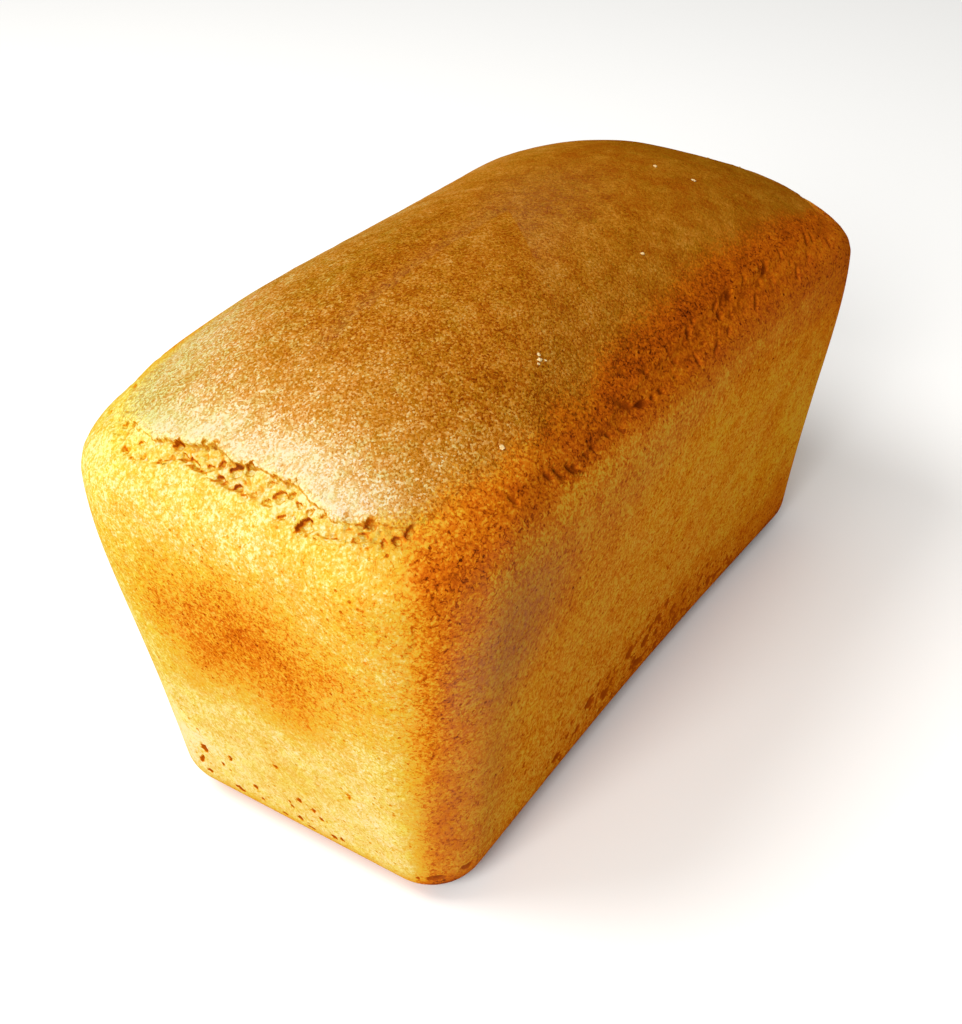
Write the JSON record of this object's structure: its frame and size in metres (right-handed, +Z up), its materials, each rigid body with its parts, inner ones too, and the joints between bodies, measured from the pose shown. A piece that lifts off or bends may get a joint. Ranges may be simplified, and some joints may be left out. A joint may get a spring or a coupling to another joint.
{
  "type": "tin loaf",
  "caption": "Unsliced loaf of tin bread: flat base, sloping rounded walls and a domed crust with a torn, crumbly seam round the shoulder.",
  "frame": {"origin": "middle of the flat base", "axes": "+Z up from the base to the domed top, X along the length of the loaf, Y across it"},
  "size_m": [0.2204, 0.1104, 0.1336],
  "materials": {
    "crust": "baked bread crust, matt, golden brown with paler walls and a darker top"
  },
  "bodies": {
    "root": {"loaf": "crust"}
  },
  "joints": []
}
